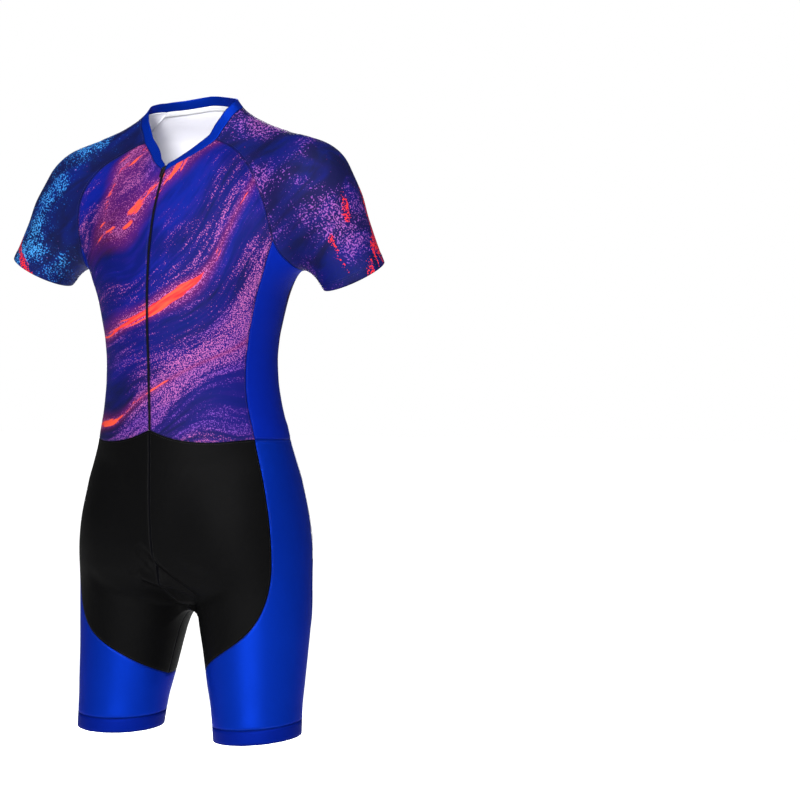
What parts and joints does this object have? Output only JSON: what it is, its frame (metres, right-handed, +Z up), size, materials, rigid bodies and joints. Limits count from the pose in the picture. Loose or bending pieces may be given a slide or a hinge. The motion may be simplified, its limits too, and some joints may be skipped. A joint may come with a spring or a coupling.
{
  "type": "triathlon suit",
  "caption": "Short-sleeved one-piece triathlon suit with a front zip, raglan sleeves, shorts legs and gripper bands, filled out as when worn.",
  "frame": {"origin": "middle of the neck opening at the height of the shoulders, where the wearer holds the suit up", "axes": "+X to the wearer's left, -Y to the front, +Z up"},
  "size_m": [0.5849, 0.237, 0.883],
  "materials": {
    "printed_knit": "printed jersey knit",
    "sleeve_knit": "printed jersey knit",
    "blue_knit": "smooth stretch knit with a soft sheen",
    "side_knit": "smooth stretch knit",
    "black_knit": "matte stretch knit",
    "charcoal_knit": "matte stretch knit",
    "gripper_knit": "stretch band",
    "white_tape": "woven tape",
    "reflective_tape": "smooth reflective tape",
    "black_tape": "woven tape",
    "zip_metal": "dark satin metal"
  },
  "bodies": {
    "suit": {"back_panel": "printed_knit", "collar_band": "blue_knit", "front_panel_left": "printed_knit", "front_panel_right": "printed_knit", "leg_band_left": "gripper_knit", "leg_band_right": "gripper_knit", "leg_panel_left": "blue_knit", "leg_panel_right": "blue_knit", "lower_back_panel": "charcoal_knit", "neck_tape": "white_tape", "seat_panel_left": "black_knit", "seat_panel_right": "black_knit", "shorts_front_left": "black_knit", "shorts_front_right": "black_knit", "side_panel_left": "side_knit", "side_panel_right": "side_knit", "side_piping_left": "reflective_tape", "side_piping_right": "reflective_tape", "sleeve_left": "sleeve_knit", "sleeve_right": "sleeve_knit", "zip_chain": "zip_metal", "zip_slider": "zip_metal", "zip_tape": "black_tape"},
    "pull_tab": {"pull_tab": "zip_metal"}
  },
  "joints": [
    {"name": "pull_tab_hinge", "type": "hinge", "parent": "suit", "child": "pull_tab", "pos_m": [0, -0.07728, -0.07604], "axis": [-1, 0, 0], "range_deg": [0, 150]}
  ]
}
